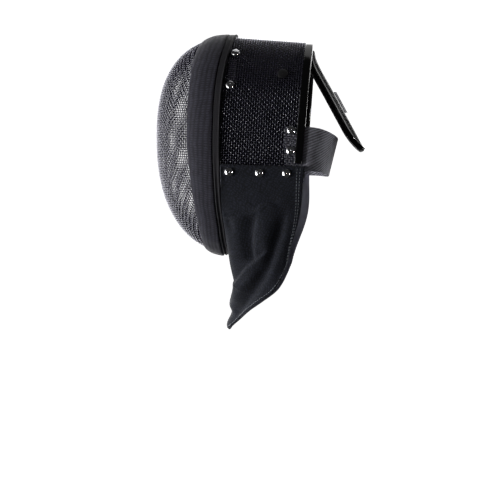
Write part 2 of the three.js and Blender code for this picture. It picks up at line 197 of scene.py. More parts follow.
def skin(name, points, quads, finishes, uv=None, finish_of=None):
    """A mesh of four-sided faces. points are in millimetres; faces are turned outwards by the sign of
    the volume that they enclose. uv holds metres for each corner of each face."""
    a, b, c, d = (points[quads[:, k]] for k in range(4))
    volume = np.einsum("ij,ij->", a, np.cross(b, c)) + np.einsum("ij,ij->", a, np.cross(c, d))
    if volume < 0:
        quads = quads[:, ::-1]
        uv = None if uv is None else uv[:, ::-1]
    mesh = bpy.data.meshes.new(name)
    mesh.vertices.add(len(points))
    mesh.vertices.foreach_set("co", (points * MM).astype(np.float32).ravel())
    mesh.loops.add(quads.size)
    mesh.loops.foreach_set("vertex_index", quads.astype(np.int32).ravel())
    mesh.polygons.add(len(quads))
    mesh.polygons.foreach_set("loop_start", np.arange(0, quads.size, 4, dtype=np.int32))
    mesh.polygons.foreach_set("use_smooth", np.ones(len(quads), bool))
    if finish_of is not None:
        mesh.polygons.foreach_set("material_index", finish_of.astype(np.int32))
    for finish in finishes:
        mesh.materials.append(finish)
    if uv is not None:
        layer = mesh.uv_layers.new(name="cloth")
        layer.uv.foreach_set("vector", uv.astype(np.float32).ravel())
    mesh.update(calc_edges=True)
    mesh.validate()
    piece = bpy.data.objects.new(name, mesh)
    bpy.context.scene.collection.objects.link(piece)
    return piece


def loft(name, sections, finishes, ring=False, finish_of=None):
    """A closed skin over sections, an array (steps, corners, 3) of closed outlines. Corner k faces
    corner -1-k across the piece's thickness, so the two ends of an open loft are closed by quads
    between facing corners. The map "cloth" holds metres along the steps and round the outline."""
    steps, corners = sections.shape[:2]
    rows = np.arange(steps if ring else steps - 1)
    r, k = np.meshgrid(rows, np.arange(corners), indexing="ij")
    next_r, next_k = (r + 1) % steps, (k + 1) % corners
    quads = np.stack([r * corners + k, r * corners + next_k,
                      next_r * corners + next_k, next_r * corners + k], -1).reshape(-1, 4)
    closed = np.concatenate([sections, sections[:1]]) if ring else sections
    closed = np.concatenate([closed, closed[:, :1]], axis=1)
    u, v = travelled(closed, 0).mean(1) * MM, travelled(closed, 1).mean(0) * MM
    uv = np.stack([np.stack([u[r], v[k]], -1), np.stack([u[r], v[k + 1]], -1),
                   np.stack([u[r + 1], v[k + 1]], -1), np.stack([u[r + 1], v[k]], -1)], 2)
    uv = uv.reshape(-1, 4, 2)
    kinds = np.zeros(len(quads), int) if finish_of is None else finish_of[k.ravel()]
    if not ring:
        j = np.arange(corners // 2 - 1)
        for row, turned in ((0, 1), (steps - 1, -1)):
            end = row * corners + np.stack([j, corners - 1 - j, corners - 2 - j, j + 1], -1)
            flat = np.stack([np.stack([u[row] + 0 * j, v[j]], -1),
                             np.stack([u[row] - turned * 0.002 + 0 * j, v[j]], -1),
                             np.stack([u[row] - turned * 0.002 + 0 * j, v[j + 1]], -1),
                             np.stack([u[row] + 0 * j, v[j + 1]], -1)], 1)
            quads = np.concatenate([quads, end[:, ::turned]])
            uv = np.concatenate([uv, flat[:, ::turned]])
            kinds = np.concatenate([kinds, 0 * j if finish_of is None else finish_of[j]])
    return skin(name, sections.reshape(-1, 3), quads, finishes, uv, kinds)


def strands(name, centres, outwards, drawn, radius, finish, sides=6):
    """Round wires or threads along rows of points, (strands, samples, 3). Each sample carries a ring
    of corners square to the strand; a length is drawn where both its samples are marked as drawn,
    and every run of lengths has closed ends."""
    along = unit(np.gradient(centres, axis=1))
    aside = unit(np.cross(along, outwards))
    up = np.cross(aside, along)
    angle = np.arange(sides) * 2 * np.pi / sides
    ring = (np.cos(angle)[:, None] * up[:, :, None] + np.sin(angle)[:, None] * aside[:, :, None])
    points = (centres[:, :, None] + radius * ring).reshape(-1, 3)
    samples = centres.shape[1]
    lengths = drawn[:, :-1] & drawn[:, 1:]
    edge = np.zeros((len(drawn), 1), bool)
    starts = lengths & ~np.concatenate([edge, lengths[:, :-1]], 1)
    ends = lengths & ~np.concatenate([lengths[:, 1:], edge], 1)
    k = np.arange(sides)

    def first_corner(marks, shift=0):
        """The number of the first corner in each marked sample's ring."""
        strand, sample = np.nonzero(marks)
        return ((strand * samples + sample + shift) * sides)[:, None, None]

    wall = first_corner(lengths) + np.stack([k, (k + 1) % sides, (k + 1) % sides + sides, k + sides], -1)
    cap = np.array([[0, 1, 2, 3], [0, 3, 4, 5]])
    quads = np.concatenate([
        wall.reshape(-1, 4),
        (first_corner(starts) + cap[:, ::-1]).reshape(-1, 4),
        (first_corner(ends, 1) + cap).reshape(-1, 4),
    ])
    used, quads = np.unique(quads, return_inverse=True)
    return skin(name, points[used], quads.reshape(-1, 4), [finish])


# ---- Finishes ----


def colour(code):
    """An sRGB hex colour as linear red, green, blue and alpha."""
    parts = np.array([int(code[i:i + 2], 16) for i in (1, 3, 5)]) / 255
    linear = np.where(parts <= 0.04045, parts / 12.92, ((parts + 0.055) / 1.055) ** 2.4)
    return (*linear.tolist(), 1.0)


def add(tree, kind, links=(), inputs=None, **settings):
    """Adds a node with its settings, its input values and its links, given as (input, source)."""
    made = tree.nodes.new("ShaderNode" + kind)
    for key, value in settings.items():
        setattr(made, key, value)
    for key, value in (inputs or {}).items():
        made.inputs[key].default_value = value
    for key, source in links:
        tree.links.new(source, made.inputs[key])
    return made


def finish(name, **sockets):
    """A new material and its Principled shader, with the sockets that are the same all over."""
    material = bpy.data.materials.new(name)
    material.use_nodes = True
    shader = material.node_tree.nodes["Principled BSDF"]
    for key, value in sockets.items():
        shader.inputs[key.replace("_", " ")].default_value = value
    return material, material.node_tree, shader


def waves(tree, source, period, direction, distortion):
    """Stripes that repeat every period millimetres. The texture's own stripes are 0.314 / scale apart."""
    return add(tree, "TexWave", [("Vector", source)],
               {"Scale": 0.31416 / (period * MM), "Distortion": distortion, "Detail": 1.0},
               wave_type="BANDS", bands_direction=direction, wave_profile="SIN").outputs["Fac"]


def woven(name, dark, light, thread, relief=0.25, mottle=0.5, patch=14.0, turned=0.0, waver=0.0,
          **sockets):
    """Woven cloth: two sets of stripes, `thread` millimetres apart on the piece's own map, are
    multiplied. The map is first turned by `turned` radians, and the stripes waver by `waver`. Soft
    patches, `patch` millimetres wide, lift and darken the colour, as handled cloth shows."""
    material, tree, shader = finish(name, **sockets)
    flat = add(tree, "UVMap", uv_map="cloth").outputs["UV"]
    cloth = add(tree, "Mapping", [("Vector", flat)], {"Rotation": (0, 0, turned)}).outputs["Vector"]
    place = add(tree, "TexCoord").outputs["Object"]
    one, other = waves(tree, cloth, thread[0], "X", waver), waves(tree, cloth, thread[1], "Y", waver)
    threads = add(tree, "Math", [(0, one), (1, other)], operation="MULTIPLY").outputs[0]
    patches = add(tree, "TexNoise", [("Vector", place)],
                  {"Scale": 1000 / patch, "Detail": 3.0, "Roughness": 0.6}).outputs["Fac"]
    fuzz = add(tree, "TexNoise", [("Vector", place)], {"Scale": 900.0, "Detail": 2.0}).outputs["Fac"]
    amount = add(tree, "Math", [(0, patches), (1, threads)], {2: 0.0}, operation="ADD").outputs[0]
    share = add(tree, "MapRange", [("Value", amount)],
                {"From Min": 0.55 - mottle / 2, "From Max": 0.95 + mottle / 2}).outputs[0]
    tint = add(tree, "MixRGB", [("Fac", share)], {1: colour(dark), 2: colour(light)}).outputs[0]
    tree.links.new(tint, shader.inputs["Base Color"])
    height = add(tree, "Math", [(0, fuzz), (1, threads)], operation="ADD").outputs[0]
    bump = add(tree, "Bump", [("Height", height)], {"Strength": relief, "Distance": 0.4 * MM})
    tree.links.new(bump.outputs["Normal"], shader.inputs["Normal"])
    return material


def coated(name, code, noise_size, relief, **sockets):
    """A plain coloured surface whose only pattern is in its gloss: a fine grain in the roughness and a
    faint unevenness of the surface, noise_size millimetres across."""
    low, high = sockets.pop("Roughness")
    material, tree, shader = finish(name, Base_Color=colour(code), **sockets)
    place = add(tree, "TexCoord").outputs["Object"]
    grain = add(tree, "TexNoise", [("Vector", place)],
                {"Scale": 1000 / noise_size, "Detail": 3.0}).outputs["Fac"]
    gloss = add(tree, "MapRange", [("Value", grain)],
                {"From Min": 0.3, "From Max": 0.7, "To Min": low, "To Max": high}).outputs[0]
    tree.links.new(gloss, shader.inputs["Roughness"])
    bump = add(tree, "Bump", [("Height", grain)], {"Strength": relief, "Distance": 0.1 * MM})
    tree.links.new(bump.outputs["Normal"], shader.inputs["Normal"])
    return material


# Steel wire dipped in black lacquer: satin, with small bright lights on each crown of the weave.
LACQUERED_WIRE = coated("black_lacquered_wire", "#2a2932", 2.0, 0.1, Roughness=(0.2, 0.3), IOR=1.5,
                        Coat_Weight=1.0, Coat_Roughness=0.1, Coat_Tint=colour("#dcdaf0"))
# Ribbed polyester stretched over padding: dull charcoal. Real threads are too fine to show, here and
# in every cloth below, so they are drawn 1.4 to 6 mm apart.
BAND_CLOTH = woven("ribbed_polyester", "#1d1c26", "#363542", (3.0, 6.0), relief=0.5, mottle=0.2,
                   patch=9.0, turned=0.06, waver=3.0, Roughness=0.85, Sheen_Weight=0.1)
# Woven binding tape: darker and a little smoother than the cloth that it edges.
BINDING_TAPE = woven("binding_tape", "#151419", "#27262c", (2.4, 2.4), Roughness=0.8)
# Black nylon weave of the bib's outside: nearly black and dull, with a bluish cast.
BIB_CLOTH = woven("ballistic_nylon", "#0b0e16", "#222634", (3.6, 3.0), relief=0.8, mottle=0.2,
                  patch=5.0, turned=0.6, waver=9.0, Roughness=0.9, Sheen_Weight=0.05)
# The bib's lining: a lighter grey plain weave.
BIB_LINING = woven("grey_lining", "#8f8f9b", "#a9a9b6", (1.5, 1.5), Roughness=0.9)
# Knitted elastic: mid grey and dull, with ribs that slant up towards the rear. The ribs' light and shade
# are painted into the colour: a near-white painted highlight along each rib, with painted shade between.
# The other stripes are made so wide, 160 mm, that only the ribs show.
ELASTIC_PAINTED_RIB_LIGHT = woven("ribbed_elastic_painted_rib_light", "#6a6974", "#e4e3f0", (160.0, 3.2), relief=0.8, turned=-0.45,
                Roughness=0.85)
# Moulded vinyl strip: deep black, smooth and glossy, so it shows long clean reflections.
VINYL = coated("glossy_black_vinyl", "#040405", 20.0, 0.0, Roughness=(0.12, 0.18), IOR=1.53)
# Brushed cloth over foam: black and without any gloss. Its colour is darkened to almost no reflection
# as painted shade for the dark inside of the mask seen through the wire.
FOAM_CLOTH_PAINTED_SHADE = woven("brushed_foam_cloth_painted_shade", "#020203", "#060607", (2.4, 2.4), Roughness=0.97,
                   Specular_IOR_Level=0.15)
# Black fleece: nearly as dark, but its nap lights up where it is seen edge-on.
FLEECE = woven("black_fleece", "#050506", "#0c0c0d", (2.4, 2.4), Roughness=0.95, Sheen_Weight=1.0,
               Sheen_Roughness=0.35)
# Hook tape: light grey, a fine nap of loops.
HOOK_TAPE = woven("grey_hook_tape", "#8c8b92", "#b9b8be", (1.4, 1.4), relief=0.6, Roughness=0.9)
# Grey webbing.
WEBBING = woven("grey_webbing", "#8b8894", "#a8a5b2", (1.5, 1.5), Roughness=0.85)
# Nickel-plated steel rivets: a mirror with a slight haze.
NICKEL = coated("nickel_plate", "#c9c9cc", 3.0, 0.03, Roughness=(0.06, 0.14), Metallic=1.0)
# Moulded nylon stud: satin black.
STUD_NYLON = coated("black_nylon", "#101012", 1.5, 0.15, Roughness=(0.45, 0.6), IOR=1.53)
# Sewing thread: grey polyester with a slight shine.
THREAD = coated("grey_thread", "#8a8f96", 1.0, 0.1, Roughness=(0.5, 0.6), IOR=1.5)


# ---- Woven wire ----


def meridian(turn):
    """The dome's line of fall from its most forward point in the direction turn: distance over the
    surface and distance off the centre line."""
    lean = np.linspace(0, np.pi / 2, 2000)
    y = BASE_Y - BULGE * np.cos(lean) ** (2 / power(turn))
    points = shell(turn, y)
    off = np.hypot(points[:, 0], points[:, 2] - FOREMOST_Z)
    return travelled(points), off


def dome_place(x, height):
    """Turn and depth of the dome's point at x and height off the centre line, and whether there is one:
    its depth is what |x/width|^n + |height/tall|^n leaves of 1, to the power 1/n."""
    turn = np.arctan2(x, height)
    n = power(turn)
    tall = np.where(height > 0, RISE, DROP)
    left = 1 - np.abs(x / HALF_WIDTH) ** n - np.abs(height / tall) ** n
    return turn, BASE_Y - BULGE * np.maximum(left, 0) ** (1 / n), left > 0


def weave_height(along, number, bend):
    """A plain weave's rise and fall: over one crossing and under the next, turned about for every
    other wire. The bends of two crossing sets add up to a wire's thickness."""
    return bend * np.cos(np.pi * along / PITCH) * np.where(number % 2, -1, 1)


def front_wires():
    """Two sets of wires in upright and level planes, spaced evenly over the dome's centre lines."""
    half_steps = np.arange(-2 * DOME_WIRES, 2 * DOME_WIRES + 1) / 2
    crossings = np.arange(-DOME_WIRES, DOME_WIRES + 1)
    across_s, across = meridian(np.pi / 2)
    up_s, up = meridian(0.0)
    down_s, down = meridian(np.pi)

    def width_at(s):
        """How far to the left the dome is at a distance s over it."""
        return np.sign(s) * np.interp(np.abs(s), across_s, across)

    def height_at(s):
        """How far up the dome is at a distance s over it."""
        return np.where(s > 0, np.interp(s, up_s, up), -np.interp(-s, down_s, down))

    made = []
    for upright in (True, False):
        number, along = np.meshgrid(crossings, half_steps, indexing="ij")
        fixed, running = number * PITCH, along * PITCH
        x, height = (width_at(fixed), height_at(running)) if upright else (
            width_at(running), height_at(fixed))
        turn, y, exists = dome_place(x, height)
        drawn = exists & (y < mesh_join(turn) + MESH_TUCK) & (np.abs(fixed) < DOME_REACH)
        out = weave_height(running, number, FRONT_WIRE if upright else -FRONT_WIRE)
        place, outwards = shell_frame(turn, y)
        piece = strands("front_mesh_upright" if upright else "front_mesh_level",
                        place + out[..., None] * outwards, outwards, drawn, FRONT_WIRE, LACQUERED_WIRE)
        made.append(piece)
    return made


def side_wires():
    """One set of wires over the crown from foot to foot and one set from the band to the rim. They
    lie on the wall unrolled flat: distance round the outline, and distance square to that."""
    turn = np.linspace(-np.pi, np.pi, 4001)
    height = outline(turn) * np.cos(turn)
    lean = CROWN_FALL * height
    round_s = travelled(np.stack([outline(turn) * np.sin(turn), lean, height], -1))
    round_s -= np.interp(0.0, turn, round_s)
    made = []
    for arched in (True, False):
        numbers = np.arange(-36, 24) if arched else np.arange(-90, 91)
        runs = np.arange(-181, 182) / 2 if arched else np.arange(-72, 48) / 2
        number, along = np.meshgrid(numbers, runs, indexing="ij")
        fixed, running = number * PITCH, along * PITCH
        s, t = (running, fixed) if arched else (fixed, running)
        at = np.interp(s, round_s, turn)
        y = t + CROWN_FALL * outline(at) * np.cos(at)
        place, outwards = shell_frame(at, y)
        drawn = (y > mesh_join(at) - MESH_TUCK) & (y < rear_edge(at) - RIM_TUCK)
        drawn &= place[..., 2] > MESH_FOOT_Z
        out = weave_height(running, number, SIDE_WIRE * (ARCHED_BEND if arched else -STRAIGHT_BEND))
        piece = strands("side_mesh_arched" if arched else "side_mesh_straight",
                        place + out[..., None] * outwards, outwards, drawn, SIDE_WIRE, LACQUERED_WIRE)
        made.append(piece)
    return made


# ---- Band, binding, rim and padding ----


def ring_loft(name, front, rear, outer, inner, finishes, across=24):
    """A ring of cloth round the shell. Its outline runs across the outside from front to rear and
    back across the inside; outer and inner give the distance out of the shell."""
    turn = np.arange(RING_TURNS)[:, None] * 2 * np.pi / RING_TURNS
    b = (1 - np.cos(np.linspace(0, np.pi, across))) / 2
    y = mix(front(turn), rear(turn), b)
    outside = shell(turn + 0 * y, y, outer(turn, b))
    inside = shell(turn + 0 * y, y, inner + 0 * y)
    return loft(name, np.concatenate([outside, inside[:, ::-1]], 1), finishes, ring=True)


def chin_gathers(turn, b):
    """Soft folds across the band where it is drawn round the chin: sines of the turn that fade out
    within 45 degrees of it and grow towards the rear hem."""
    from_chin = np.abs((turn % (2 * np.pi)) - np.pi)
    fade = np.exp(-((from_chin / 0.5) ** 2)) * (0.15 + 0.85 * b**1.5)
    return fade * (np.cos(from_chin * 30 + 1.2 * b) + 0.5 * np.cos(from_chin * 51 - 0.8))


def padded_band():
    """The band's cloth: a ring whose outside is what outer() says."""
    def outer(turn, b):
        """The thickness rises as a root over the front 40% of the width, drops as one over the last
        8%, and falls to nothing at both edges. The chin's gathers are added."""
        from_front, from_rear = np.sqrt(np.clip(b / 0.4, 0, 1)), np.sqrt(np.clip((1 - b) / 0.08, 0, 1))
        hem = smoothstep(b, 0, 0.02) * smoothstep(1 - b, 0, 0.02)
        thick = mix(0.3, BAND_THICKNESS, from_front * mix(0.6, 1.0, from_rear)) * hem
        return COVER + 0.2 + thick + 0.7 * chin_gathers(turn, b) * hem

    return ring_loft("padded_band_cloth", lambda t: band_edge(t, 1),
                     lambda t: band_edge(t, 2) - BINDING_WIDTH - GAP, outer, COVER, [BAND_CLOTH])


def band_binding():
    """A flat tape with a bead along its rear edge, and two cords under it towards the chin."""
    def outer(turn, b):
        """The bead and the cords are bell curves across the width, and one gives way to the other
        between 96 and 140 degrees from the crown."""
        from_crown = np.degrees(np.pi - np.abs(turn - np.pi))
        low = smoothstep(from_crown, 96, 140)
        cords = np.exp(-(((b - 0.24) / 0.17) ** 2)) + np.exp(-(((b - 0.78) / 0.15) ** 2))
        bead = np.exp(-(((b - 0.9) / 0.06) ** 2))
        hem = smoothstep(b, 0, 0.06) * smoothstep(1 - b, 0, 0.05)
        return COVER + 0.3 + (mix(2.6, 0.7, low) + 1.9 * low * cords + 0.7 * (1 - low) * bead) * hem

    return ring_loft("band_binding_tape", lambda t: band_edge(t, 2) - BINDING_WIDTH,
                     lambda t: band_edge(t, 2), outer, COVER, [BINDING_TAPE], across=28)


def rounded(corners, passes):
    """Cuts the corners of a closed outline, each time a quarter of the way along each side."""
    for _ in range(passes):
        after = np.roll(corners, -1, axis=0)
        corners = np.stack([mix(corners, after, 0.25), mix(corners, after, 0.75)], 1).reshape(-1, 2)
    return corners


def rim_strip():
    """A channel over the wire wall's rear edge: its outline, in distance in front of the rear edge
    and distance out of the shell, is carried from foot to foot over the crown."""
    outside = [(10, 2.2), (9.6, 2.8), (5, 2.8), (2.4, 2.8), (1.0, 2.5), (0.2, 1.6), (0, 0.4),
               (0, -1.2), (0.4, -2.5), (1.5, -2.9), (4, -2.9), (6, -2.9)]
    inside = [(6, -1.6), (4, -1.6), (1.9, -1.6), (1.7, -1.3), (1.7, -0.6), (1.7, 0.6), (1.7, 1.3),
              (1.9, 1.6), (4, 1.6), (6, 1.6), (9, 1.6), (10, 1.6)]
    section = rounded(np.array(outside + inside, float), 2)
    foot = turn_at(REAR_Y, RIM_FOOT_Z)
    turn = np.linspace(foot, -foot, 300)[:, None]
    points = shell(turn + 0 * section[:, 0], rear_edge(turn) - section[:, 0], section[:, 1] + 0 * turn)
    return loft("rim_channel", points, [VINYL])


def inner_padding():
    """A soft layer inside the wire wall: its thickness falls off as the root of b(1 - b) towards the
    band and the rim, and in a straight line towards its two feet."""
    foot = turn_at(0.0, PADDING_FOOT_Z)
    turn = np.linspace(foot, -foot, 160)[:, None]
    b = (1 - np.cos(np.linspace(0, np.pi, 26))) / 2
    y = mix(band_edge(turn, 2) - PADDING_BEFORE, rear_edge(turn) - PADDING_SHORT, b)
    edge = (np.minimum(1, 6 * np.sqrt(b * (1 - b)) + 0.12)
            * np.minimum(1, 9 * (1 - np.abs(turn / foot)) + 0.15))
    middle, half = (PADDING_OUTER + PADDING_INNER) / 2, (PADDING_OUTER - PADDING_INNER) / 2
    outside = shell(turn + 0 * y, y, middle + half * edge)
    inside = shell(turn + 0 * y, y, middle - half * edge)
    return loft("crown_padding", np.concatenate([outside, inside[:, ::-1]], 1), [FOAM_CLOTH_PAINTED_SHADE])


# ---- Bib ----

BIB_THICKNESS = 3.0
BIB_INNER = 2.2  # its inside, out from the middle of the wire
BIB_MIDDLE = BIB_INNER + BIB_THICKNESS / 2
BIB_FRONT_Y, BIB_REAR_Y, BIB_FRONT_Z, BIB_REAR_Z = -56.5, 49.0, -153.0, -156.4
BIB_CORNER = 0.5  # share of the way from the rear corner to the chin where the top edge turns down
BIB_CLEAR, BIB_HANG = 0.5, 5.0  # gap to the band, and how far the cloth bellies out
BIB_SWAY = 6.0  # how much further back the right side hangs
STITCH_STEP, STITCH_RADIUS, STITCH_SAMPLES = 0.8, 0.42, 520  # the last is more than the longest row has
# Lower edge: share of the way from the rear corner to the tip, half width, depth, height
BIB_LOW = np.array([
    (0, 82, 25, -277), (0.15, 81, 18, -298), (0.3, 77, 7, -316), (0.5, 64, -12, -331),
    (0.65, 47, -29, -343), (0.82, 25, -43, -356), (0.92, 12, -50.5, -363.5), (1, 0, -53, -366),
])
# Folds: the kind, a line in the side view (Y, Z), how far the cloth moves out there, the fold's width
# to the right and to the left of the line as it is walked, and the lengths over which it fades in and
# out. A bell is a ridge or a valley. A ledge lifts one side and drops the other, as where a roll lies over.
BIB_FOLDS = [
    ("ledge", [(-60, -217), (-30.5, -215.5), (-14, -214)], -2.2, 10, 10, 1, 4),
    ("ledge", [(-14, -211), (-7.6, -205), (2, -202.2), (16.3, -205)], -2.0, 9, 9, 3, 10),
    ("bell", [(-15, -214), (-20, -238.6), (-20.9, -261), (-20, -278)], -6.0, 11, 3.5, 12, 6),
    ("bell", [(25, -206), (20, -230), (15, -247), (9.5, -264), (2, -284), (-9, -303), (-20.5, -320),
              (-33, -335), (-45, -345)], -6.2, 8, 4.5, 36, 4),
    ("bell", [(-3.5, -215), (-5, -240), (-10, -264)], 1.6, 9, 9, 20, 20),
    ("ledge", [(2.6, -262), (-12.6, -272.5), (-27, -284), (-35.2, -294.5), (-44, -306)], 3.4, 14, 12, 14, 1),
    ("bell", [(-10, -284), (-22, -297), (-35.5, -312), (-48, -325)], 2.4, 8, 6, 14, 2),
    ("bell", [(28, -220), (20, -258), (4, -298), (-20, -334)], 0.8, 9, 9, 24, 20),
    ("bell", [(-50, -219), (-47, -232), (-44, -246)], -2.2, 5, 5, 5, 20),
]
# The front line of the bib between chin and tip: height, and how far the cloth stands out there
BIB_FRONT_LINE = np.array([
    (-366, 0), (-361.6, 2.2), (-355, 1.6), (-347.2, -2), (-341.9, -3.6), (-334, -0.6), (-324.3, -1.6),
    (-314.4, -6), (-308, -11), (-296, -8.4), (-280, -4.2), (-262, -3), (-250, -2),
])


def bib_top(share):
    """The top edge: along the foot of the wire wall, then down along the band to the chin."""
    way = np.clip(share / BIB_CORNER, 0, 1)
    y, z = mix(BIB_REAR_Y, BIB_FRONT_Y, way), mix(BIB_REAR_Z, BIB_FRONT_Z, way)
    turn = turn_at(y, z)
    down = np.clip((share - BIB_CORNER) / (1 - BIB_CORNER), 0, 1)
    lower = mix(turn_at(np.array(BIB_FRONT_Y), np.array(BIB_FRONT_Z)), np.pi, down)
    first = share <= BIB_CORNER
    return shell(np.where(first, turn, lower),
                 np.where(first, y, band_edge(lower, 2) + BIB_CLEAR), BIB_MIDDLE)


def bib_smooth(share, down, sway):
    """The left half of the smooth cloth: straight lines from the top edge to the lower edge, bellied
    out by the square of a sine, rearwards at the rear edge and sideways elsewhere. sway carries the
    rear edge further back, highest up."""
    key = BIB_LOW[:, 0]
    low = np.stack([follow(key, BIB_LOW[:, 1], share), follow(key, BIB_LOW[:, 2], share, (False, True)),
                    follow(key, BIB_LOW[:, 3], share, (False, True))], -1)
    belly = BIB_HANG * np.sin(np.pi * np.clip(down, 0, 1)) ** 2
    at_rear = np.clip(1 - share / 0.3, 0, 1)
    aside = np.clip(1 - share, 0, 1) * (1 - at_rear)
    back = belly + sway * np.sin(np.pi * np.clip(down, 0, 1)) * (1 - 0.6 * down)
    shift = np.stack([belly * aside, back * at_rear, 0 * belly], -1)
    return mix(bib_top(share), low, down[..., None]) + shift


def line_distance(y, z, line):
    """Distance from each place to a broken line, positive on its left as it is walked, how far along
    the line the nearest place lies, and the line's length."""
    best = np.full(y.shape, 1e9)
    signed, along = np.zeros(y.shape), np.zeros(y.shape)
    walked = 0.0
    for (ay, az), (by, bz) in zip(line[:-1], line[1:], strict=True):
        ry, rz = by - ay, bz - az
        length = np.hypot(ry, rz)
        free = ((y - ay) * ry + (z - az) * rz) / length**2
        way = np.clip(free, 0, 1)
        distance = np.hypot(y - ay - way * ry, z - az - way * rz)
        side = np.sign(ry * (z - az) - rz * (y - ay))
        nearer = distance < best
        best = np.where(nearer, distance, best)
        signed = np.where(nearer, distance * side, signed)
        along = np.where(nearer, walked + free * length, along)
        walked += length
    return signed, along, walked


def bib_folds(y, z):
    """Sum of all folds: a bell curve across a valley or ridge, and across a ledge a steep step that
    dies away to both sides. Each is faded in and out at its line's ends."""
    total = np.zeros(y.shape)
    for kind, line, out, right, left, fade_in, fade_out in BIB_FOLDS:
        d, along, length = line_distance(y, z, line)
        width = np.where(d > 0, left, right)
        fade = smoothstep(along, -1, fade_in) * smoothstep(length - along, -1, fade_out)
        if kind == "ledge":
            total += fade * out * np.tanh(d / 1.5) * np.exp(-np.abs(d) / width)
        else:
            total += fade * out * np.exp(-((d / width) ** 2))
    return total


def bib_frame(share, down, sway=0.0):
    """Middle of the cloth, folds included, and the smooth cloth's outward direction: the cross product
    of the steps along and down it, turned to straight ahead near the centre line."""
    step = 0.01
    place = bib_smooth(share, down, sway)
    along = (bib_smooth(np.minimum(1, share + step), down, sway)
             - bib_smooth(np.maximum(0, share - step), down, sway))
    fall = bib_smooth(share, down + step, sway) - bib_smooth(share, down - step, sway)
    outwards = unit(np.cross(along, fall))
    near_tip = smoothstep(share, 0.9, 1.0)[..., None]
    outwards = unit(mix(outwards, np.array([0.0, -1.0, 0.0]), near_tip))
    front = follow(BIB_FRONT_LINE[:, 0], BIB_FRONT_LINE[:, 1], place[..., 2], (True, True))
    rise = mix(bib_folds(place[..., 1], place[..., 2]), front, smoothstep(share, 0.74, 0.97))
    rise = rise * smoothstep(down, 0, 0.15)
    return place + rise[..., None] * outwards, outwards


def both_sides(left, right=None):
    """Rows of the left half, from the rear edge to the centre, and then the right half's back. The
    right half is given as if it were on the left; without one it is the left half's mirror image."""
    right = left if right is None else right
    return np.concatenate([left, right[-2::-1] * np.array([-1.0, 1.0, 1.0])])


def bib():
    """Outer cloth and lining as one closed sheet whose thickness rounds off to nothing at its edges."""
    fine = np.array([0, 0.0015, 0.004, 0.008])
    share = np.concatenate([fine, np.linspace(0.014, 1, 110)])[:, None]
    down = np.concatenate([fine, np.linspace(0.014, 0.986, 100), 1 - fine[::-1]])[None, :]
    share, down = np.broadcast_arrays(share, down)
    (left, left_out), (right, right_out) = bib_frame(share, down), bib_frame(share, down, BIB_SWAY)
    edge = np.minimum.reduce([share / 0.008, down / 0.008, (1 - down) / 0.008, np.ones(down.shape)])
    half = (BIB_THICKNESS / 2 * np.sqrt(np.maximum(1 - (1 - edge) ** 2, 0.01)))[..., None]
    sections = np.concatenate([both_sides(left + half * left_out, right + half * right_out),
                               both_sides(left - half * left_out, right - half * right_out)[:, ::-1]], 1)
    corners = sections.shape[1]
    kind = (np.arange(corners) >= corners // 2).astype(int)
    return loft("bib_cloth", sections, [BIB_CLOTH, BIB_LINING], finish_of=kind)


def bib_stitching():
    """A stitch every 4 mm, in two rows along the rear hem and one along the lower hem: each is a thread
    2.4 mm long that rises out of the cloth over its first third."""
    way = np.linspace(0, 1, 900)
    rows, normals, marks = [], [], []
    for sway, sign in ((0.0, 1.0), (BIB_SWAY, -1.0)):
        for share, down in ((0.026, mix(0.02, 0.985, way)), (0.045, mix(0.02, 0.985, way)),
                            (mix(0.026, 1.0, way), 0.975)):
            middle, outwards = bib_frame(share + 0 * way, down + 0 * way, sway)
            s = travelled(middle)
            even = np.arange(0, s[-1], STITCH_STEP)
            at = np.stack([np.interp(even, s, middle[:, i]) for i in range(3)], -1)
            up = unit(np.stack([np.interp(even, s, outwards[:, i]) for i in range(3)], -1))
            beat = np.arange(len(even)) % 5
            dip = np.choose(beat, [0.0, 0.35, 0.42, 0.35, 0.0])
            spare = STITCH_SAMPLES - len(even)
            at = at + (BIB_THICKNESS / 2 + dip - 0.1)[:, None] * up
            side = np.array([sign, 1.0, 1.0])
            rows.append(side * np.concatenate([at, at[-1] + np.arange(1, spare + 1)[:, None] * 0.01]))
            normals.append(side * np.concatenate([up, np.repeat(up[-1:], spare, 0)]))
            marks.append(np.concatenate([beat < 4, np.zeros(spare, bool)]))
    return strands("bib_stitching", np.array(rows), np.array(normals), np.array(marks), STITCH_RADIUS,
                   THREAD)


# ---- Elastic strap ----

STRAP_END_Y, STRAP_ARC_Y, STRAP_REAR_Y, STRAP_LEAN, STRAP_POWER = 22.0, 48.0, 93.0, 12.5, 2.3
STRAP_SIDE_TOP, STRAP_REAR_TOP, STRAP_SIDE_FOOT, STRAP_REAR_FOOT = -106.0, -116.0, -161.5, -165.5
STRAP_SIDE_SHARE = 0.15  # of the half strap that lies along the inside of the wall


def strap_point(way, b, depth):
    """The strap's left half: along the inside of the wall, then a quarter superellipse round the back."""
    bend = np.clip((way - STRAP_SIDE_SHARE) / (1 - STRAP_SIDE_SHARE), 0, 1) * np.pi / 2
    back = np.sin(bend) ** 2
    z = mix(mix(STRAP_SIDE_TOP, STRAP_REAR_TOP, back), mix(STRAP_SIDE_FOOT, STRAP_REAR_FOOT, back), 1 - b)
    y = mix(STRAP_END_Y, STRAP_ARC_Y, np.minimum(1, way / STRAP_SIDE_SHARE))
    start = shell(turn_at(y, z), y, depth)
    across, behind = (np.maximum(v, 0) ** (2 / STRAP_POWER) for v in (np.cos(bend), np.sin(bend)))
    reach = STRAP_REAR_Y + depth - STRAP_LEAN * (1 - b) - STRAP_ARC_Y
    return np.stack([start[..., 0] * across, start[..., 1] + reach * behind, z], -1)


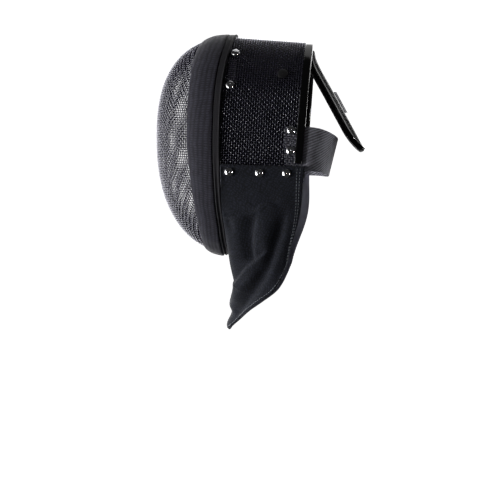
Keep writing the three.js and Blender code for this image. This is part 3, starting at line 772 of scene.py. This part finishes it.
def elastic_strap():
    """A flat strap whose thickness falls off as the root of b(1 - b) at its two edges."""
    way = np.linspace(0, 1, 120)[:, None]
    b = (1 - np.cos(np.linspace(0, np.pi, 44))) / 2
    middle, half = (INSERT_OUTER + INSERT_INNER) / 2, (INSERT_OUTER - INSERT_INNER) / 2
    edge = np.sqrt(np.minimum(1, 40 * b * (1 - b) + 0.04))
    out = half * edge + 0 * way
    outside, inside = strap_point(way, b, middle + out), strap_point(way, b, middle - out)
    sections = np.concatenate([both_sides(outside), both_sides(inside)[:, ::-1]], 1)
    return loft("elastic_strap_cloth", sections, [ELASTIC_PAINTED_RIB_LIGHT])


# ---- Tongue ----

TONGUE_SPINE = np.array([(30, 4.5), (44, 3.4), (55.5, 2.1), (60.3, -2.5), (62.8, -13), (84.5, -54),
                         (105.5, -93), (125.6, -131)])
TONGUE_HALF, TONGUE_CURVE, TONGUE_PLATE, TONGUE_ROUND_END, TONGUE_TIP_HALF = 40.0, 88.0, 1.8, 40.0, 9.0
LINING_FROM, LINING_THICKNESS, LINING_MARGIN = 46.0, 6.2, 0.6
PATCH_FROM, PATCH_TO, PATCH_HALF, PATCH_THICKNESS, PATCH_GAP = 92.0, 123.0, 22.0, 0.4, 0.1


def spine_curve():
    """A centripetal Catmull-Rom curve through the spine's points: each piece is a cubic whose end
    slopes weigh its neighbours by the square root of their distances."""
    p = np.concatenate([[2 * TONGUE_SPINE[0] - TONGUE_SPINE[1]], TONGUE_SPINE,
                        [2 * TONGUE_SPINE[-1] - TONGUE_SPINE[-2]]])
    runs = []
    for a, b, c, d in zip(p[:-3], p[1:-2], p[2:-1], p[3:], strict=True):
        ab, bc, cd = (np.sqrt(np.linalg.norm(v)) for v in (b - a, c - b, d - c))
        m = ((b - a) / ab - (c - a) / (ab + bc) + (c - b) / bc) * bc
        n = ((c - b) / bc - (d - b) / (bc + cd) + (d - c) / cd) * bc
        t = np.linspace(0, 1, 60, endpoint=False)[:, None]
        runs.append(b + t * m + t**2 * (3 * (c - b) - 2 * m - n) + t**3 * (m + n - 2 * (c - b)))
    return np.concatenate([*runs, TONGUE_SPINE[-1:]])


SPINE = spine_curve()
SPINE_S = travelled(SPINE)
TONGUE_LENGTH = SPINE_S[-1]
SPINE_AHEAD = unit(np.gradient(SPINE, SPINE_S, axis=0))


def tongue_half(length):
    """Half the tongue's width: straight sides and a rounded end."""
    past = np.clip((length - TONGUE_LENGTH + TONGUE_ROUND_END) / TONGUE_ROUND_END, 0, 1)
    return mix(TONGUE_TIP_HALF, TONGUE_HALF, np.sqrt(1 - past**2))


def tongue_point(length, x, out):
    """A point along the spine, x off the centre plane: across its width the tongue follows the crown
    at its root and a rounder arc further down."""
    length, x, out = np.broadcast_arrays(length, x, out)
    y, z = (np.interp(length, SPINE_S, SPINE[:, i]) for i in range(2))
    ahead_y, ahead_z = (np.interp(length, SPINE_S, SPINE_AHEAD[:, i]) for i in range(2))
    crown = RISE * (1 - (1 - np.abs(x / HALF_WIDTH) ** POWER_UP) ** (1 / POWER_UP))
    arc = TONGUE_CURVE - np.sqrt(TONGUE_CURVE**2 - x**2)
    rise = out - mix(crown, arc, smoothstep(length, 24, 60))
    return np.stack([x, y - ahead_z * rise, z + ahead_y * rise], -1)


def tongue_layer(name, start, end, half_at, outer, inner, finish_used, edge):
    """A layer along the tongue with rounded edges: its thickness falls off as a circle does within
    `edge` millimetres of its outline."""
    ends = np.array([0, 0.15, 0.4, 0.7]) * edge
    length = np.concatenate([start + ends, np.linspace(start + edge, end - edge, 90), end - ends[::-1]])
    x_share = np.sin(np.linspace(-np.pi / 2, np.pi / 2, 50))
    x = x_share * half_at(length)[:, None]
    length = length[:, None] + 0 * x
    inset = np.minimum.reduce([length - start, end - length, (1 - np.abs(x_share)) * half_at(length)])
    fall = np.sqrt(np.clip(1 - (1 - np.clip(inset / edge, 0, 1)) ** 2, 0.01, 1))
    middle, half = (outer + inner) / 2, (outer - inner) / 2 * fall
    outside, inside = tongue_point(length, x, middle + half), tongue_point(length, x, middle - half)
    sections = np.concatenate([outside, inside[:, ::-1]], 1)
    return loft(name, sections, [finish_used])


# ---- Rivets, studs and tabs ----


def head(name, turn, y, seat, profile, finish_used):
    """A turned head: its outline of radii and heights is spun about the shell's outward direction."""
    place, outwards = shell_frame(np.array(turn), np.array(y))
    aside = unit(np.cross(outwards, np.array([0.0, 1.0, 0.0])))
    other = np.cross(outwards, aside)
    angle = np.arange(48)[:, None] * 2 * np.pi / 48
    radius, height = profile[:, 0], profile[:, 1]
    sections = (place + (seat + GAP + height[:, None]) * outwards
                + radius[:, None] * (np.cos(angle)[..., None] * aside + np.sin(angle)[..., None] * other))
    return loft(name, sections, [finish_used], ring=True)


def dome_profile(radius, height, brim):
    """Outline from the middle of the underside, round a softened brim, to the top of the dome."""
    angle = np.linspace(0, np.pi / 2, 12)
    dome = np.stack([radius * np.cos(angle) ** 0.9, brim + (height - brim) * np.sin(angle)], -1)
    base = np.array([(0.02, 0), (radius * 0.5, 0), (radius - 0.3, 0), (radius, 0.25)])
    dome[-1, 0] = 0.02
    return np.concatenate([base, dome])


SEAT_BIB = BIB_INNER + BIB_THICKNESS
RIVET_DOME, STUD_DOME = (5.6, 3.2, 0.7), (6.5, 1.8, 0.8)  # radius, height and height of the brim
STUD_Y, STUD_Z = 19.8, -38.4
TAB_Y, TAB_TOP_Z, TAB_FOOT_Z, TAB_HALF = -44.5, -16.0, -48.0, 5.0
# Rivets: name, depth, height, and what they sit on, out from the middle of the wire
RIVETS = [
    ("bib_front", -47.5, -162.5, SEAT_BIB), ("bib_middle", -9.0, -163.8, SEAT_BIB),
    ("bib_rear", 25.3, -164.4, SEAT_BIB), ("strap_upper", 31.3, -110.5, MESH_OUTER),
    ("strap_lower", 30.5, -136.3, MESH_OUTER), ("front_upper", -41.5, -10.7, MESH_OUTER),
    ("front_lower", -46.8, -52.8, MESH_OUTER),
]


def padding_tab(name, sign):
    """A narrow tape behind the wire, between the two upper front rivets. Its thickness falls off
    across its width as the root of 1 - b^8."""
    z = np.linspace(TAB_TOP_Z, TAB_FOOT_Z, 30)[:, None]
    b = np.linspace(-TAB_HALF, TAB_HALF, 12)
    y = TAB_Y + b + 0 * z
    turn = sign * turn_at(y, z + 0 * y)
    middle, half = (INSERT_OUTER + INSERT_INNER) / 2, (INSERT_OUTER - INSERT_INNER) / 2
    thick = half * np.sqrt(np.clip(1 - (np.abs(b) / TAB_HALF) ** 8, 0.05, 1))
    outside, inside = shell(turn, y, middle + thick), shell(turn, y, middle - thick)
    return loft(name, np.concatenate([outside, inside[:, ::-1]], 1), [WEBBING])


# ---- Assembly ----


def place_piece(piece, slot, *nodes):
    """Rides a piece on the one body, in place of its CAD nodes. The slot is not used."""
    if nodes:
        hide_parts(*nodes)
    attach(piece, "root")
    return piece


for wires in front_wires():
    place_piece(wires, "painted_wire", "front_mesh")
for wires in side_wires():
    place_piece(wires, "painted_wire", "side_mesh")

band = place_piece(padded_band(), "band_cloth", "padded_band")
place_piece(band_binding(), "binding_tape", "band_binding")
place_piece(rim_strip(), "gloss_plastic", "rim_strip")
place_piece(inner_padding(), "padding", "inner_padding")

bib_piece = place_piece(bib(), "bib_cloth", "bib")
stitching = place_piece(bib_stitching(), "bib_cloth")

strap = place_piece(elastic_strap(), "elastic", "elastic_strap")

plate = TONGUE_PLATE / 2
place_piece(tongue_layer("tongue_plate", 0.0, TONGUE_LENGTH, tongue_half, plate, -plate, VINYL, 0.9),
            "gloss_plastic", "tongue")
lining = tongue_layer("tongue_lining_pad", LINING_FROM, TONGUE_LENGTH,
                      lambda s: tongue_half(s) - LINING_MARGIN, -plate - GAP,
                      -plate - GAP - LINING_THICKNESS, FLEECE, 2.6)
place_piece(lining, "padding", "tongue_lining")
place_piece(tongue_layer("tongue_patch_tape", PATCH_FROM, PATCH_TO, lambda s: PATCH_HALF + 0 * s,
                         plate + PATCH_GAP + PATCH_THICKNESS, plate + PATCH_GAP, HOOK_TAPE, 0.5),
            "grey_patch", "tongue_patch")

for side, sign in (("left", 1), ("right", -1)):
    for label, y, z, seat in RIVETS:
        turn = sign * turn_at(np.array(y), np.array(z))
        place_piece(head(f"nickel_rivet_{label}_{side}", turn, y, seat, dome_profile(*RIVET_DOME), NICKEL),
                    "chrome", f"rivet_{label}_{side}")
    turn = sign * turn_at(np.array(STUD_Y), np.array(STUD_Z))
    place_piece(head(f"nylon_stud_{side}", turn, STUD_Y, MESH_OUTER, dome_profile(*STUD_DOME), STUD_NYLON),
                "black_stud", f"black_stud_{side}")
    place_piece(padding_tab(f"webbing_tab_{side}", sign), "tab_cloth", f"padding_tab_{side}")


# ---- Studio ----

FLOOR_Z = -0.6
FLOOR_FLAT, FLOOR_RIM, FLOOR_SIDES = 3.2, 4.6, 96
AIM = Vector((0.0, -0.0262, -0.262))  # where the camera and the lights look
CAMERA_WAY, CAMERA_DISTANCE = Vector((0.99863, 0.05234, 0.0)), 3.0
CAMERA_SENSOR, CAMERA_LENS = 36.0, 164.9  # millimetres
WORLD_STRENGTH = 0.035
# Square lights: name, place, size and power. The backdrop gives the long grazing lights on the dome
# and the rim; the key and the front light give the rivets' crescents and the wires' highlights.
LIGHTS = [
    ("key_light", (1.3, -1.8, -0.9), 1.5, 90),
    ("front_light", (0.0, -2.3, -0.3), 2.6, 50),
    ("backdrop_light", (-1.9, -0.4, -0.1), 3.2, 125),
    ("rear_light", (1.6, 2.1, -0.9), 0.4, 52),
    ("top_light", (-1.0, 2.0, 0.8), 1.2, 10),
    ("crown_light", (-0.8, 0.2, 1.5), 1.7, 7),
]


def studio_floor():
    """A round pale floor whose rim sweeps up: radii and heights of a quarter circle, spun about Z."""
    rim = np.linspace(0, np.pi / 2, 16)
    rise = FLOOR_RIM - FLOOR_FLAT
    radius = np.concatenate([[0.001, 1.0, 2.0], FLOOR_FLAT + rise * np.sin(rim), [FLOOR_RIM]])
    height = np.concatenate([[0, 0, 0], rise * (1 - np.cos(rim)), [rise + 0.4]]) + FLOOR_Z
    angle = np.arange(FLOOR_SIDES)[:, None] * 2 * np.pi / FLOOR_SIDES
    points = np.stack([radius * np.cos(angle), radius * np.sin(angle), height + 0 * angle], -1) / MM
    count = len(radius)
    a, k = np.meshgrid(np.arange(FLOOR_SIDES), np.arange(count - 1), indexing="ij")
    b = (a + 1) % FLOOR_SIDES
    quads = np.stack([a * count + k, a * count + k + 1, b * count + k + 1, b * count + k], -1)
    return skin("studio_floor", points.reshape(-1, 3), quads.reshape(-1, 4), [FLOOR_PAINT])


def area_light(name, place, size, power_w):
    """A square soft light that faces the mask and isn't seen itself."""
    data = bpy.data.lights.new(name, "AREA")
    data.size, data.energy = size, power_w
    lamp = bpy.data.objects.new(name, data)
    lamp.location = place
    lamp.visible_camera = False
    lamp.rotation_euler = (AIM - lamp.location).to_track_quat("-Z", "Y").to_euler()
    bpy.context.scene.collection.objects.link(lamp)


# Matt white studio paint, evenly lit by lamps of its own that don't reach the mask.
FLOOR_PAINT = coated("matt_white_paint", "#e8e8e8", 40.0, 0.02, Roughness=(0.85, 0.95), IOR=1.4,
                     Emission_Color=(1, 1, 1, 1), Emission_Strength=1.0)
floor = studio_floor()
floor.visible_diffuse = floor.visible_glossy = False

scene = bpy.context.scene
scene.view_settings.view_transform = "Standard"
world = bpy.data.worlds.new("studio")
scene.world = world
world.use_nodes = True
background = world.node_tree.nodes["Background"]
background.inputs["Color"].default_value = (1, 1, 1, 1)
background.inputs["Strength"].default_value = WORLD_STRENGTH

for light in LIGHTS:
    area_light(*light)

camera_data = bpy.data.cameras.new("camera")
camera_data.sensor_width = CAMERA_SENSOR
camera_data.lens = CAMERA_LENS
camera = bpy.data.objects.new("camera", camera_data)
camera.location = AIM + CAMERA_DISTANCE * CAMERA_WAY
camera.rotation_euler = (AIM - camera.location).to_track_quat("-Z", "Y").to_euler()
scene.collection.objects.link(camera)
scene.camera = camera
